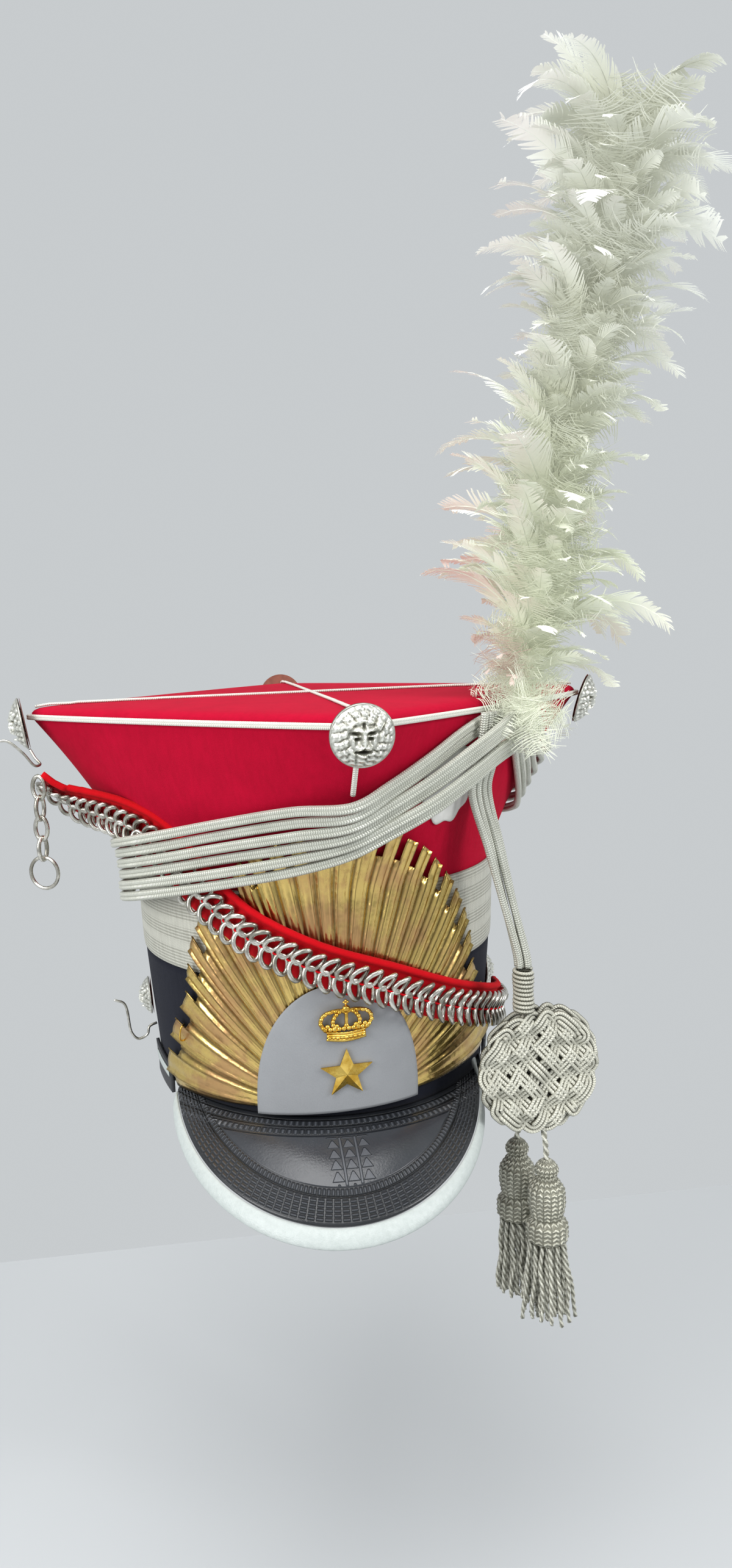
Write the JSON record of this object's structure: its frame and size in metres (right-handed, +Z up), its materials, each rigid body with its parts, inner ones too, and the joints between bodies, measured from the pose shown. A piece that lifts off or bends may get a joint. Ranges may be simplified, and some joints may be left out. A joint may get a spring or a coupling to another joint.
{
  "type": "lancer cap",
  "caption": "square-topped lancer shako: red crown, navy turban, silver lace, rayed brass plate, chin chain, silver cap lines with tassels, tall white plume",
  "frame": {"origin": "centre of the head opening, where the cap sits on a head, at the level of the turban's side edge", "axes": "+X to the right seen from the front, the side with the plume; +Y to the back; +Z up along the cap"},
  "size_m": [0.3671, 0.322, 0.6152],
  "materials": {
    "navy_cloth": "matt wool",
    "red_cloth": "matt wool",
    "silver_lace": "woven metal thread",
    "white_piping": "matt braid",
    "black_leather": "embossed, half gloss",
    "white_leather": "smooth",
    "brass_plate": "worn polish",
    "grey_leather": "matt",
    "gilt": "polished",
    "silver": "worn polish",
    "steel": "polished",
    "red_felt": "matt felt",
    "silver_cord": "metal thread braid",
    "white_cotton": "matt",
    "feather": "downy"
  },
  "bodies": {
    "root": {"turban": "navy_cloth", "crown_cloth": "red_cloth", "lace_band": "silver_lace", "edge_piping": "white_piping", "front_piping": "white_piping", "back_piping": "white_piping", "top_piping": "white_piping", "peak": "black_leather", "peak_binding": "white_leather", "left_peak_tab": "black_leather", "right_peak_tab": "black_leather", "sunburst_plate": "brass_plate", "centre_plate": "grey_leather", "crown_badge": "gilt", "star_badge": "gilt", "front_boss": "silver", "left_boss": "silver", "right_boss": "silver", "back_boss": "silver", "left_ear_boss": "silver", "right_ear_boss": "silver", "corner_hook": "steel", "left_ear_hook": "steel", "right_ear_hook": "steel", "chain_strap": "red_felt", "chin_chain": "steel", "chain_tail": "steel", "cockade": "white_cotton", "cap_line_1": "silver_cord", "cap_line_2": "silver_cord", "cap_line_3": "silver_cord", "cap_line_4": "silver_cord", "cap_line_5": "silver_cord", "cap_line_6": "silver_cord", "hanging_cord_1": "silver_cord", "hanging_cord_2": "silver_cord", "hanging_cord_3": "silver_cord", "hanging_cord_4": "silver_cord", "whipping": "silver_cord", "cord_mat_front": "silver_cord", "tassel_cord_front": "silver_cord", "tassel_head_front": "silver_cord", "tassel_skirt_front": "silver_cord", "cord_mat_rear": "silver_cord", "tassel_cord_rear": "silver_cord", "tassel_head_rear": "silver_cord", "tassel_skirt_rear": "silver_cord", "plume": "feather"}
  },
  "joints": []
}
